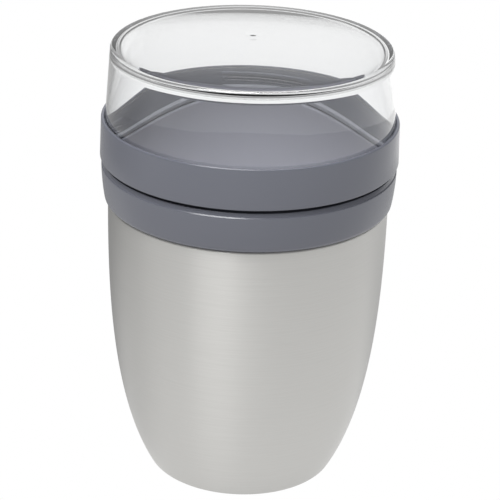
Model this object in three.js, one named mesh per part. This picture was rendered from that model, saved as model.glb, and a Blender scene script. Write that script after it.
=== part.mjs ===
// Insulated lunch pot: a double-walled steel bowl with a pressed collar, a tray that screws into it, and a
// clear domed lid that screws into the tray. Millimetres, +Z up, origin at the centre of the base.
import * as THREE from 'three';

// Steel body
const BODY_RADIUS = 53; // outside of the steel at its shoulder
const BODY_HEIGHT = 109.6; // top of the shoulder
const BODY_CURVE_TOP = 5; // the curved wall would be upright this far above the shoulder
const BODY_CURVE_DEPTH = 134; // how far below that height the curve would close
const BODY_CURVE_POWER = 2.7; // 2 is an ellipse, more is fuller
const BASE_CORNER_RADIUS = 2.2;
const FOOT_LAP = 5; // sheet turned in under the wall, flat where the pot stands
const SHEET = 0.6; // steel thickness
const SHOULDER_ROUND = 1;
const NECK_HEIGHT = 5.9; // upright neck above the shoulder
const SNAP_BEAD = 0.5; // rolled bead on the neck that the collar snaps over
const SNAP_BEAD_LAND = 0.5; // upright stretch between the collar's gasket and the bead

// Steel liner, and what lies in the vacuum between the walls
const VACUUM_GAP = 4.2;
const NECK_VACUUM_GAP = 1.2;
const LINER_CORNER_RADIUS = 9;
const FOIL_THICKNESS = 0.4;
const FOIL_STANDOFF = 0.3; // foil off the liner
const FOIL_LOW_MARGIN = 9; // foil starts this far above the liner's floor
const FOIL_HIGH_MARGIN = 7; // foil ends this far below the shoulder
const GETTER_RADIUS = 6;
const GETTER_HEIGHT = 2.2;
const GETTER_BEVEL = 0.6;
const GETTER_CLEARANCE = 1.8; // getter above the base plate's dome

// Two base plates: the welded one closes the vacuum, the cover hides its sealing bead
const WELD_PLATE_LAP = 1.6; // how far the plate laps over the foot
const WELD_PLATE_STEP = 1.2; // plate's middle above its welded rim
const WELD_PLATE_STEP_INSET = 2; // the step starts this far inside the foot's edge
const WELD_PLATE_DOME = 1.6;
const WELD_PLATE_DOME_RADIUS = 12;
const PLATE_SLOPE = 4; // radial run of a pressed step
const SEAL_HOLE_RADIUS = 1.6;
const SEAL_HEAD_RADIUS = 3.2;
const SEAL_HEAD_HEIGHT = 0.8;
const COVER_SHEET = 0.4;
const COVER_RIM = 2.4; // width of the cover's flat rim
const COVER_RECESS = 0.6; // cover's middle above its rim

// Collar, moulded
const COLLAR_HEIGHT = 15.4;
const COLLAR_PROUD = 1.15; // collar's lower edge past the steel
const COLLAR_FLARE = 1.35; // collar's top past its lower edge
const COLLAR_WALL = 1.7;
const COLLAR_LOWER_ROUND = 1.6;
const COLLAR_UPPER_ROUND = 1.2;
const SOCKET_FLOOR_DROP = 0.9; // socket floor below the steel rim
const GASKET_WIDTH = 1.5;
const GASKET_HEIGHT = 1.2;

// Tray, moulded
const RING_GAP = 1.4; // open line between collar and tray ring
const RING_HEIGHT = 15.5;
const RING_OVERHANG = 0.5; // tray ring past the collar's top
const RING_DRAFT = 0.4; // ring narrows this much to its top
const RING_WALL = 1.25; // at the ring's top edge
const RING_ROUND = 0.6;
const LEDGE_DROP = 9.8; // ledge below the ring's top edge
const WEB_THICKNESS = 1.8;
const TRAY_NECK_WALL = 1.6;
const TRAY_NECK_END_GAP = 0.6; // end of the tray's neck above the socket floor
const BOWL_WALL = 1.7;
const BOWL_EDGE_ROUND = 0.8;
const BOWL_DEPTH = 34; // ledge down to where the bowl's curve would close
const BOWL_FOOT_RADIUS = 20; // flat that the tray stands on by itself
const TRAY_SEAL_HEIGHT = 3.4;
const TRAY_SEAL_TOP_WIDTH = 0.7;

// Lid, clear and moulded
const LID_WALL_HEIGHT = 27.2; // ring's top to the lid's upper edge
const LID_DRAFT = 0.066; // outside narrows this much for each millimetre of height
const LID_INSIDE_DRAFT = 0.05;
const LID_WALL = 2.4; // at the upper edge
const LID_TOP = 2.8;
const LID_CROWN = 4.1; // middle of the top above its edge
const LID_CORNER_RADIUS = 1.5;
const LID_INSIDE_CORNER_RADIUS = 3.2;
const LID_STEP_DROP = 0.8; // lid narrows to its threaded skirt this far below the ring's top
const LID_SEAL_THICKNESS = 1.2;
const LID_SEAL_WIDTH = 2.3;

// Fits
const SEAT_GAP = 0.2; // between pieces that are welded, glued or pressed together
const SEAL_GAP = 0.3; // between a soft seal and what squeezes it
const SLIP_GAP = 0.3; // between pieces that turn or lift past each other
const THREAD_ROOM = 1.2; // radial room that a pair of threads takes
const RIM_CLEARANCE = 0.5; // steel rim to the tray's neck around it
const MOUTH_CLEARANCE = 0.6; // tray bowl to the liner's mouth

// Facets
const FACETS = 40; // around a large turned piece
const SMALL_FACETS = 24; // around a small one
const WALL_STEPS = 7; // along the body's curved wall
const WALL_STEP_EASE = 1.4; // steps gather where the wall curves most
const COLLAR_STEPS = 3;
const BOWL_STEPS = 7;
const BOWL_STEP_EASE = 1.2;
const CROWN_STEPS = 4;
const ROUND_STEPS = 3; // around a rounded corner

// Heights and radii that follow from those
const neckTop = BODY_HEIGHT + NECK_HEIGHT;
const rimHeight = neckTop + SEAT_GAP + SHEET;
const footInner = bodyRadiusAt(0) - FOOT_LAP;
const collarBottom = BODY_HEIGHT + SEAT_GAP;
const collarTop = collarBottom + COLLAR_HEIGHT;
const collarLowerRadius = BODY_RADIUS + COLLAR_PROUD;
const collarUpperRadius = collarLowerRadius + COLLAR_FLARE;
const socketRadius = collarUpperRadius - COLLAR_WALL;
const socketFloor = rimHeight - SOCKET_FLOOR_DROP;
const trayNeckRadius = socketRadius - THREAD_ROOM;
const trayNeckInside = trayNeckRadius - TRAY_NECK_WALL;
const neckRadius = trayNeckInside - RIM_CLEARANCE;
const rebateTop = collarBottom + GASKET_HEIGHT + SEAT_GAP;
const beadHeight = rebateTop + SNAP_BEAD_LAND + SNAP_BEAD;
const mouthRadius = neckRadius - 2 * SHEET - NECK_VACUUM_GAP;
const linerStandoff = 2 * SHEET + VACUUM_GAP;
const ringBottom = collarTop + RING_GAP;
const ringTop = ringBottom + RING_HEIGHT;
const ringRadius = collarUpperRadius + RING_OVERHANG;
const ringTopRadius = ringRadius - RING_DRAFT;
const ringInside = ringTopRadius - RING_WALL;
const ledgeHeight = ringTop - LEDGE_DROP;
const bowlRadius = trayNeckRadius - BOWL_WALL;
const traySealBottom = rimHeight + SEAL_GAP;
const traySealTop = traySealBottom + TRAY_SEAL_HEIGHT;
const lidSealBottom = ledgeHeight + SEAT_GAP;
const lidSealTop = lidSealBottom + LID_SEAL_THICKNESS;
const skirtBottom = lidSealTop + SEAL_GAP;
const skirtRadius = ringInside - THREAD_ROOM;
const lidEdgeHeight = ringTop + LID_WALL_HEIGHT;
const lidEdgeRadius = lidRadiusAt(lidEdgeHeight);
const weldPlateBottom = SHEET + SEAT_GAP;
const weldPlateMiddle = weldPlateBottom + WELD_PLATE_STEP;
const sealHoleBottom = weldPlateMiddle + WELD_PLATE_DOME;
const getterBottom = sealHoleBottom + SHEET + GETTER_CLEARANCE;
const getterTop = getterBottom + GETTER_HEIGHT;
const linerFloor = getterTop + SEAT_GAP + SHEET;
const bowlPower = powerThrough(
  (mouthRadius - MOUTH_CLEARANCE) / (bowlRadius + BOWL_WALL),
  (ledgeHeight - rimHeight) / (BOWL_DEPTH + BOWL_WALL),
);

// Materials
function metal(color, roughness) {
  return new THREE.MeshStandardMaterial({ color, roughness, metalness: 1 });
}

function moulded(color, roughness) {
  return new THREE.MeshStandardMaterial({ color, roughness, metalness: 0 });
}

const brushedSteel = metal(0xb9b8b4, 0.38);
const polishedSteel = metal(0xc6c6c4, 0.22);
const aluminiumFoil = metal(0xd9dadd, 0.3);
const solder = metal(0x8f9094, 0.5);
const slatePlastic = moulded(0x70737c, 0.5);
const greySilicone = moulded(0x76777f, 0.65);
const getterAlloy = moulded(0x55565a, 0.8);
const clearPlastic = new THREE.MeshStandardMaterial({
  color: 0xf4f6f8, roughness: 0.05, metalness: 0, transparent: true, opacity: 0.3,
});

// Curves. A superellipse quarter: one radius, one depth, and a power that says how full it is.
function superellipse(radius, depth, power, drop) {
  const share = Math.min(1, Math.max(0, drop / depth));
  return radius * (1 - share ** power) ** (1 / power);
}

// The power whose superellipse passes a point, given as shares of its radius and its depth.
function powerThrough(radiusShare, depthShare) {
  let low = 1;
  let high = 12;
  while (high - low > 1e-6) {
    const middle = (low + high) / 2;
    if (radiusShare ** middle + depthShare ** middle > 1) low = middle;
    else high = middle;
  }
  return (low + high) / 2;
}

function bodyRadiusAt(height) {
  const drop = BODY_HEIGHT + BODY_CURVE_TOP - height;
  return superellipse(BODY_RADIUS, BODY_CURVE_DEPTH, BODY_CURVE_POWER, drop);
}

function linerRadiusAt(height) {
  return bodyRadiusAt(height) - linerStandoff;
}

// The collar's side bulges: it flares fast from its lower edge and is upright at its top.
function collarRadiusAt(height) {
  const share = (collarTop - height) / COLLAR_HEIGHT;
  return collarUpperRadius - COLLAR_FLARE * share ** 2;
}

// The bowl of the tray, at its inside (wall 0) or its outside.
function bowlRadiusAt(height, wall = 0) {
  return superellipse(bowlRadius + wall, BOWL_DEPTH + wall, bowlPower, ledgeHeight - height);
}

// The bowl's outside, drawn in where the seal's groove needs the room.
function bowlOutsideAt(height) {
  const grooveWidth = TRAY_SEAL_TOP_WIDTH + 2 * SEAL_GAP;
  return Math.min(bowlRadiusAt(height, BOWL_WALL), trayNeckInside - grooveWidth);
}

// The height where the bowl has a given radius: the same curve read the other way.
function bowlHeightAt(radius, wall = 0) {
  return ledgeHeight - superellipse(BOWL_DEPTH + wall, bowlRadius + wall, bowlPower, radius);
}

function lidRadiusAt(height) {
  return ringInside - SLIP_GAP - LID_DRAFT * (height - ringTop);
}

function lidInsideAt(height) {
  return lidEdgeRadius - LID_WALL + LID_INSIDE_DRAFT * (lidEdgeHeight - height);
}

// Profiles are lists of points [radius, height] that go round a section anticlockwise.

// Points of a curve given as radius over height, from one height to another.
function along(radiusAt, low, high, steps, ease = 1) {
  const points = [];
  for (let i = 0; i <= steps; i += 1) {
    const height = low + (high - low) * (i / steps) ** ease;
    points.push([radiusAt(height), height]);
  }
  return points;
}

// A corner rounded by an arc that is tangent to both of its sides and no longer than they are.
function rounded(before, corner, after, radius, steps = ROUND_STEPS) {
  const tip = new THREE.Vector2(...corner);
  const back = new THREE.Vector2(...before).sub(tip);
  const ahead = new THREE.Vector2(...after).sub(tip);
  const half = back.angleTo(ahead) / 2;
  const reach = Math.min(radius / Math.tan(half), back.length(), ahead.length());
  const start = tip.clone().addScaledVector(back.normalize(), reach);
  const end = tip.clone().addScaledVector(ahead.normalize(), reach);
  const centre = tip.clone().addScaledVector(back.add(ahead).normalize(), reach / Math.cos(half));
  const from = start.clone().sub(centre);
  const sweep = Math.atan2(from.cross(end.clone().sub(centre)), from.dot(end.clone().sub(centre)));
  const points = [];
  for (let i = 0; i <= steps; i += 1) {
    const spoke = from.clone().rotateAround(new THREE.Vector2(), (sweep * i) / steps);
    points.push([centre.x + spoke.x, centre.y + spoke.y]);
  }
  return points;
}

// A solid of revolution about +Z. A profile that stays off the axis closes on itself.
function turned(name, profile, material, facets = FACETS) {
  const points = profile.map(([radius, height]) => new THREE.Vector2(radius, height));
  if (points[0].x > 0) points.push(points[0].clone());
  const geometry = new THREE.LatheGeometry(points, facets);
  geometry.rotateX(Math.PI / 2);
  const mesh = new THREE.Mesh(geometry, material);
  mesh.name = name;
  return mesh;
}

// Steel body, drawn from sheet: foot, curved wall, shoulder, and neck with its snap bead.
function outerShell() {
  const insideAt = (height) => bodyRadiusAt(height) - SHEET;
  const wallTop = BODY_HEIGHT - SHOULDER_ROUND;
  const wall = along(bodyRadiusAt, BASE_CORNER_RADIUS, wallTop, WALL_STEPS, WALL_STEP_EASE);
  const inside = along(insideAt, BASE_CORNER_RADIUS, wallTop - SHEET, WALL_STEPS, WALL_STEP_EASE);
  const shoulder = [BODY_RADIUS, BODY_HEIGHT];
  return turned('outer_shell', [
    [footInner, 0],
    ...rounded([footInner, 0], [bodyRadiusAt(0), 0], wall[0], BASE_CORNER_RADIUS),
    ...wall,
    ...rounded(wall[WALL_STEPS], shoulder, [neckRadius, BODY_HEIGHT], SHOULDER_ROUND).slice(1),
    [neckRadius, BODY_HEIGHT],
    [neckRadius, beadHeight - SNAP_BEAD],
    [neckRadius + SNAP_BEAD, beadHeight],
    [neckRadius, beadHeight + SNAP_BEAD],
    [neckRadius, neckTop],
    [neckRadius - SHEET, neckTop],
    [neckRadius - SHEET, BODY_HEIGHT - SHEET],
    [BODY_RADIUS - SHEET - SHOULDER_ROUND, BODY_HEIGHT - SHEET],
    ...inside.reverse(),
    ...rounded(inside[WALL_STEPS], [insideAt(SHEET), SHEET], [footInner, SHEET], BASE_CORNER_RADIUS - SHEET),
    [footInner, SHEET],
  ], brushedSteel);
}

// Polished liner: a second skin inside the first, with a rim flange over the neck.
function innerLiner() {
  const start = linerFloor + LINER_CORNER_RADIUS;
  const outsideAt = (height) => linerRadiusAt(height) + SHEET;
  const outside = along(outsideAt, start, BODY_HEIGHT, WALL_STEPS - 1, WALL_STEP_EASE);
  const inside = along(linerRadiusAt, start, BODY_HEIGHT, WALL_STEPS - 1, WALL_STEP_EASE);
  const under = linerFloor - SHEET;
  const corner = [linerRadiusAt(linerFloor), linerFloor];
  return turned('inner_liner', [
    [0, under],
    ...rounded([0, under], [outsideAt(under), under], outside[0], LINER_CORNER_RADIUS + SHEET),
    ...outside,
    [mouthRadius + SHEET, rimHeight - SHEET],
    [neckRadius, rimHeight - SHEET],
    [neckRadius, rimHeight],
    [mouthRadius, rimHeight],
    ...inside.reverse(),
    ...rounded(inside[WALL_STEPS - 1], corner, [0, linerFloor], LINER_CORNER_RADIUS),
    [0, linerFloor],
  ], polishedSteel);
}

// Foil sleeve round the liner, which throws heat back.
function reflectorFoil() {
  const innerAt = (height) => linerRadiusAt(height) + SHEET + FOIL_STANDOFF;
  const outerAt = (height) => innerAt(height) + FOIL_THICKNESS;
  const low = linerFloor + FOIL_LOW_MARGIN;
  const high = BODY_HEIGHT - FOIL_HIGH_MARGIN;
  return turned('reflector_foil', [
    ...along(outerAt, low, high, WALL_STEPS - 2, WALL_STEP_EASE),
    ...along(innerAt, low, high, WALL_STEPS - 2, WALL_STEP_EASE).reverse(),
  ], aluminiumFoil);
}

// Getter puck under the liner's floor, which takes up the last gas.
function getter() {
  return turned('getter', [
    [0, getterBottom],
    [GETTER_RADIUS - GETTER_BEVEL, getterBottom],
    [GETTER_RADIUS, getterBottom + GETTER_BEVEL],
    [GETTER_RADIUS, getterTop],
    [0, getterTop],
  ], getterAlloy, SMALL_FACETS);
}

// Pressed plate welded over the foot, stepped up and domed, with the pump-out hole in its middle.
function weldPlate() {
  const rim = footInner + WELD_PLATE_LAP;
  const step = footInner - WELD_PLATE_STEP_INSET;
  const underside = [
    [SEAL_HOLE_RADIUS, sealHoleBottom],
    [WELD_PLATE_DOME_RADIUS, sealHoleBottom],
    [WELD_PLATE_DOME_RADIUS + PLATE_SLOPE, weldPlateMiddle],
    [step - PLATE_SLOPE, weldPlateMiddle],
    [step, weldPlateBottom],
    [rim, weldPlateBottom],
  ];
  const upperside = underside.map(([radius, height]) => [radius, height + SHEET]).reverse();
  return turned('weld_plate', [...underside, ...upperside], polishedSteel);
}

// Bead that closes the pump-out hole: a stem in the hole and a head under the plate.
function vacuumSeal() {
  const stem = SEAL_HOLE_RADIUS - SEAT_GAP;
  const headTop = sealHoleBottom - SEAT_GAP;
  const headBottom = headTop - SEAL_HEAD_HEIGHT;
  const headEdge = [SEAL_HEAD_RADIUS, headTop];
  return turned('vacuum_seal', [
    [0, headBottom],
    ...rounded([0, headBottom], [SEAL_HEAD_RADIUS, headBottom], headEdge, SEAL_HEAD_HEIGHT / 2),
    headEdge,
    [stem, headTop],
    [stem, sealHoleBottom + SHEET],
    [0, sealHoleBottom + SHEET],
  ], solder, SMALL_FACETS);
}

// Thin dished cover, let into the foot.
function baseCover() {
  const edge = footInner - SEAT_GAP;
  const lift = weldPlateBottom - SEAT_GAP - COVER_SHEET;
  const underside = [
    [0, lift + COVER_RECESS],
    [edge - COVER_RIM - PLATE_SLOPE, lift + COVER_RECESS],
    [edge - COVER_RIM, lift],
    [edge, lift],
  ];
  const upperside = underside.map(([radius, height]) => [radius, height + COVER_SHEET]).reverse();
  return turned('base_cover', [...underside, ...upperside], brushedSteel);
}

// Collar: a seat on the steel neck below, a socket for the tray above.
function collar() {
  const seat = neckRadius + SEAT_GAP;
  const rebate = seat + GASKET_WIDTH + SEAT_GAP;
  const low = collarBottom + COLLAR_LOWER_ROUND;
  const high = collarTop - COLLAR_UPPER_ROUND;
  const side = along(collarRadiusAt, low, high, COLLAR_STEPS);
  const lowerCorner = [collarLowerRadius, collarBottom];
  const upperCorner = [collarUpperRadius, collarTop];
  return turned('collar', [
    [rebate, collarBottom],
    ...rounded([rebate, collarBottom], lowerCorner, side[0], COLLAR_LOWER_ROUND).slice(0, -1),
    ...side,
    ...rounded(side[COLLAR_STEPS], upperCorner, [socketRadius, collarTop], COLLAR_UPPER_ROUND).slice(1),
    [socketRadius, collarTop],
    [socketRadius, socketFloor],
    [seat, socketFloor],
    [seat, beadHeight + SNAP_BEAD],
    [seat + SNAP_BEAD, beadHeight],
    [seat, beadHeight - SNAP_BEAD],
    [seat, rebateTop],
    [rebate, rebateTop],
  ], slatePlastic);
}

// Flat ring squeezed between the collar and the steel shoulder.
function collarGasket() {
  const inner = neckRadius + SEAT_GAP;
  return turned('collar_gasket', [
    [inner, collarBottom],
    [inner + GASKET_WIDTH, collarBottom],
    [inner + GASKET_WIDTH, collarBottom + GASKET_HEIGHT],
    [inner, collarBottom + GASKET_HEIGHT],
  ], greySilicone);
}

// Tray: an oval-section bowl, a neck round it that goes into the collar, and the ring that takes the lid.
function tray() {
  const floorUnder = bowlHeightAt(BOWL_FOOT_RADIUS, BOWL_WALL);
  const floor = bowlHeightAt(BOWL_FOOT_RADIUS);
  const grooveTop = traySealTop + SEAL_GAP;
  const neckBottom = socketFloor + TRAY_NECK_END_GAP;
  const webUnder = ledgeHeight - WEB_THICKNESS;
  const outside = along(bowlOutsideAt, floorUnder, grooveTop, BOWL_STEPS, BOWL_STEP_EASE);
  const ledgeEdge = [bowlRadius, ledgeHeight];
  const edgeHeight = ledgeHeight - BOWL_EDGE_ROUND;
  const inside = along(bowlRadiusAt, floor, edgeHeight, BOWL_STEPS, BOWL_STEP_EASE).reverse();
  return turned('tray', [
    [0, floorUnder],
    ...outside,
    [trayNeckInside, grooveTop],
    [trayNeckInside, neckBottom],
    [trayNeckRadius, neckBottom],
    [trayNeckRadius, webUnder],
    [ringInside, webUnder],
    [ringInside, ringBottom],
    ...rounded([ringInside, ringBottom], [ringRadius, ringBottom], [ringTopRadius, ringTop], RING_ROUND),
    ...rounded([ringRadius, ringBottom], [ringTopRadius, ringTop], [ringInside, ringTop], RING_ROUND),
    [ringInside, ringTop],
    [ringInside, ledgeHeight],
    ...rounded([ringInside, ledgeHeight], ledgeEdge, inside[0], BOWL_EDGE_ROUND).slice(0, -1),
    ...inside,
    [0, floor],
  ], slatePlastic);
}

// Wedge ring held between the tray's neck and its bowl, which presses on the steel rim.
function traySeal() {
  const outer = trayNeckInside - SEAL_GAP;
  const innerAt = (height) => bowlOutsideAt(height) + SEAL_GAP;
  return turned('tray_seal', [
    [outer, traySealBottom],
    [outer, traySealTop],
    ...along(innerAt, traySealBottom, traySealTop, 2).reverse(),
  ], greySilicone);
}

// Lid: a crowned top, a drafted wall, and a narrower skirt that goes into the tray's ring.
function lid() {
  const stepHeight = ringTop - LID_STEP_DROP;
  const corner = [lidEdgeRadius, lidEdgeHeight];
  const insideEdge = lidEdgeHeight - LID_TOP;
  const insideCorner = [lidInsideAt(insideEdge), insideEdge];
  const crownAt = (radius, edge, edgeHeight) => edgeHeight + LID_CROWN * (1 - (radius / edge) ** 2);
  const crown = [];
  const crownUnder = [];
  for (let i = 0; i < CROWN_STEPS; i += 1) {
    const share = i / CROWN_STEPS;
    crown.push([lidEdgeRadius * share, crownAt(lidEdgeRadius * share, lidEdgeRadius, lidEdgeHeight)]);
    crownUnder.push([insideCorner[0] * share, crownAt(insideCorner[0] * share, insideCorner[0], insideEdge)]);
  }
  const stepOuter = [lidRadiusAt(stepHeight), stepHeight];
  const skirtInner = [lidInsideAt(skirtBottom), skirtBottom];
  const lastCrown = crown[CROWN_STEPS - 1];
  const lastUnder = crownUnder[CROWN_STEPS - 1];
  return turned('lid', [
    ...crownUnder,
    ...rounded(lastUnder, insideCorner, skirtInner, LID_INSIDE_CORNER_RADIUS),
    skirtInner,
    [skirtRadius, skirtBottom],
    [skirtRadius, stepHeight],
    stepOuter,
    ...rounded(stepOuter, corner, lastCrown, LID_CORNER_RADIUS),
    ...crown.reverse(),
  ], clearPlastic);
}

// Flat ring on the tray's ledge, under the middle of the lid's skirt.
function lidSeal() {
  const middle = (lidInsideAt(skirtBottom) + skirtRadius) / 2;
  return turned('lid_seal', [
    [middle - LID_SEAL_WIDTH / 2, lidSealBottom],
    [middle + LID_SEAL_WIDTH / 2, lidSealBottom],
    [middle + LID_SEAL_WIDTH / 2, lidSealTop],
    [middle - LID_SEAL_WIDTH / 2, lidSealTop],
  ], greySilicone);
}

function group(...pieces) {
  return new THREE.Group().add(...pieces);
}

const vacuumSpace = group(reflectorFoil(), getter(), weldPlate(), vacuumSeal());
const pot = group(outerShell(), innerLiner(), vacuumSpace, baseCover(), collar(), collarGasket());
const upperBowl = group(tray(), traySeal());
const cover = group(lid(), lidSeal());

export default group(pot, upperBowl, cover);
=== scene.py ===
# %% [markdown]
# # An insulated lunch pot
#
# The pot is a steel bowl with two walls, a grey collar on its neck, a grey tray that screws into
# the collar, and a clear domed lid that screws into the tray. Nearly all of it was spun, drawn or
# moulded round one axis, so this lesson is about turning: how one section, swept round an axis,
# becomes a clean surface, and how threads, finishes and light make it look like the real thing. The
# solids from the CAD are the fixed frame, in metres.

# %% Open the frame
import math

import bmesh
import bpy
from mathutils import Matrix, Vector


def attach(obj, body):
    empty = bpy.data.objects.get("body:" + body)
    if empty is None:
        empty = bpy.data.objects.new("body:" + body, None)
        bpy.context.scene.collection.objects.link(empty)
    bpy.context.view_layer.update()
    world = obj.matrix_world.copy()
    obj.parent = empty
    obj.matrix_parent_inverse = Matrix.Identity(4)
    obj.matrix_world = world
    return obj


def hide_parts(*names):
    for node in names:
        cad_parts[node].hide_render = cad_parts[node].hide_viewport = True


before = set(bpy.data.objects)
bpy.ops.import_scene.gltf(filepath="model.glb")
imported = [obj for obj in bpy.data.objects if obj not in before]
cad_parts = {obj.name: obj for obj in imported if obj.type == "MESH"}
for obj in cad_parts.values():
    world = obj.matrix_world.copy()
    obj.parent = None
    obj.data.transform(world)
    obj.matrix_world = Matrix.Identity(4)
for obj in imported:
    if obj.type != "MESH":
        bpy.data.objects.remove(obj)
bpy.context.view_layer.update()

# %% [markdown]
# ## Camera
#
# A photograph of round things tells where its camera stood: each rim is an ellipse, and how flat
# the ellipses are gives the tilt. The camera comes first, because everything after it is judged
# through it. Its three axes are written out as a matrix, which keeps the small roll that the
# photograph has and needs no tracking constraint.

# %% Place the camera
CAMERA_PLACE = Vector((0.00138, -0.70240, 0.39502))
CAMERA_RIGHT = Vector((0.99949, 0.01283, 0.02929))
CAMERA_UP = Vector((-0.03198, 0.40093, 0.91555))
CAMERA_LENS = 144
CAMERA_SENSOR = 36

camera_data = bpy.data.cameras.new("camera")
camera_data.lens = CAMERA_LENS
camera_data.sensor_width = CAMERA_SENSOR
camera = bpy.data.objects.new("camera", camera_data)
bpy.context.scene.collection.objects.link(camera)
camera_axes = Matrix((CAMERA_RIGHT, CAMERA_UP, CAMERA_RIGHT.cross(CAMERA_UP))).transposed()
camera.matrix_world = Matrix.Translation(CAMERA_PLACE) @ camera_axes.to_4x4()
bpy.context.scene.camera = camera
print("camera", round(CAMERA_PLACE.length, 3), "m from the foot")

# %% [markdown]
# ## Small helpers for node trees
#
# Geometry trees and shader trees are wired in the same way, so a few helpers serve both. One adds a
# node, one connects a socket or sets its value, two make Math and Map Range nodes, and one opens a
# node group with named inputs and outputs. Wiring by hand in the editor would do as well, but a
# script can be read from top to bottom.

# %% Node helpers
def add_node(tree, kind, **settings):
    node = tree.nodes.new(kind)
    for name, value in settings.items():
        setattr(node, name, value)
    return node


def feed(tree, socket, value):
    if isinstance(value, bpy.types.NodeSocket):
        tree.links.new(value, socket)
    else:
        socket.default_value = value


def calculate(tree, operation, *values):
    node = add_node(tree, "ShaderNodeMath", operation=operation)
    for socket, value in zip(node.inputs, values):
        feed(tree, socket, value)
    return node.outputs[0]


def remap(tree, value, low, high, to_low, to_high, interpolation="LINEAR"):
    node = add_node(tree, "ShaderNodeMapRange", interpolation_type=interpolation)
    ends = {"Value": value, "From Min": low, "From Max": high, "To Min": to_low, "To Max": to_high}
    for name, end in ends.items():
        feed(tree, node.inputs[name], end)
    return node.outputs["Result"]


def open_group(name, kind, inputs, outputs):
    tree = bpy.data.node_groups.new(name, kind)
    for label, socket_type, default in inputs:
        socket = tree.interface.new_socket(label, in_out="INPUT", socket_type=socket_type)
        if default is not None:
            socket.default_value = default
    for label, socket_type in outputs:
        tree.interface.new_socket(label, in_out="OUTPUT", socket_type=socket_type)
    return tree, add_node(tree, "NodeGroupInput").outputs, add_node(tree, "NodeGroupOutput").inputs


print("node helpers are ready")

# %% [markdown]
# ## One tree that turns every piece
#
# On a lathe a section is swept round an axis. Blender has a Screw modifier for that, but it can't
# cut a thread, so this tree does both. It makes a grid with one row for each point of the section
# and one column for each step round the axis, and bends the grid round +Z. Points of the section
# that carry a "lug" mark move out or in along part of the turn, and points that carry a "climb"
# mark rise with it. That is a part-turn thread: short, sloping lugs, with ends that fade into the
# wall. Because rows follow the slope, the lugs stay crisp with few faces.

# %% Build the turning tree
SEAM = 1e-6  # columns closer than this are one

turning, given, result = open_group(
    "turned_piece",
    "GeometryNodeTree",
    [
        ("Section", "NodeSocketGeometry", None),
        ("Sides", "NodeSocketInt", 192),
        ("Lugs", "NodeSocketInt", 4),
        ("Lug height", "NodeSocketFloat", 0.0),
        ("Lug share", "NodeSocketFloat", 0.46),
        ("Lug fade", "NodeSocketFloat", 0.05),
        ("Lug climb", "NodeSocketFloat", 0.001),
        ("Lug turn", "NodeSocketFloat", 0.0),
        ("Finish", "NodeSocketMaterial", None),
    ],
    [("Piece", "NodeSocketGeometry")],
)


def from_section(row, value, kind):
    node = add_node(turning, "GeometryNodeSampleIndex", data_type=kind, domain="POINT")
    feed(turning, node.inputs["Geometry"], given["Section"])
    feed(turning, node.inputs["Value"], value)
    feed(turning, node.inputs["Index"], row)
    return node.outputs["Value"]


def mark(row, name):
    node = add_node(turning, "GeometryNodeInputNamedAttribute", data_type="FLOAT")
    node.inputs["Name"].default_value = name
    return from_section(row, node.outputs["Attribute"], "FLOAT")


size = add_node(turning, "GeometryNodeAttributeDomainSize", component="MESH")
feed(turning, size.inputs["Geometry"], given["Section"])
columns = calculate(turning, "ADD", given["Sides"], 1)
grid = add_node(turning, "GeometryNodeMeshGrid")
feed(turning, grid.inputs["Vertices X"], size.outputs["Point Count"])
feed(turning, grid.inputs["Vertices Y"], columns)

index = add_node(turning, "GeometryNodeInputIndex").outputs["Index"]
row_middle = calculate(turning, "ADD", index, 0.5)
row = calculate(turning, "FLOOR", calculate(turning, "DIVIDE", row_middle, columns))
column = calculate(turning, "SUBTRACT", index, calculate(turning, "MULTIPLY", row, columns))
place = add_node(turning, "GeometryNodeInputPosition").outputs["Position"]
point = add_node(turning, "ShaderNodeSeparateXYZ")
feed(turning, point.inputs[0], from_section(row, place, "FLOAT_VECTOR"))
turn_share = calculate(turning, "DIVIDE", column, given["Sides"])
print("turning tree: section rows by turn columns")

# %% Let the lugs swell and climb
# Along each lug it swells in, holds and fades out. Behind the lug the rows come back down.
lug_place = calculate(turning, "MULTIPLY_ADD", turn_share, given["Lugs"], given["Lug turn"])
along_lug = calculate(turning, "FRACT", lug_place)
fade_start = calculate(turning, "SUBTRACT", given["Lug share"], given["Lug fade"])
swell = remap(turning, along_lug, 0.0, given["Lug fade"], 0.0, 1.0, "SMOOTHSTEP")
hold = remap(turning, along_lug, fade_start, given["Lug share"], 1.0, 0.0, "SMOOTHSTEP")
lug_share = calculate(turning, "MULTIPLY", swell, hold)
lug_out = calculate(turning, "MULTIPLY", lug_share, given["Lug height"])
rise = remap(turning, along_lug, 0.0, given["Lug share"], -0.5, 0.5)
fall = remap(turning, along_lug, given["Lug share"], 1.0, 0.0, -1.0)
lug_up = calculate(turning, "MULTIPLY", calculate(turning, "ADD", rise, fall), given["Lug climb"])

radius = calculate(turning, "MULTIPLY_ADD", mark(row, "lug"), lug_out, point.outputs["X"])
height = calculate(turning, "MULTIPLY_ADD", mark(row, "climb"), lug_up, point.outputs["Z"])
angle = calculate(turning, "MULTIPLY", turn_share, math.tau)
bent = add_node(turning, "ShaderNodeCombineXYZ")
for axis, wave in (("X", "COSINE"), ("Y", "SINE")):
    feed(turning, bent.inputs[axis], calculate(turning, "MULTIPLY", radius, calculate(turning, wave, angle)))
feed(turning, bent.inputs["Z"], height)

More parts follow.
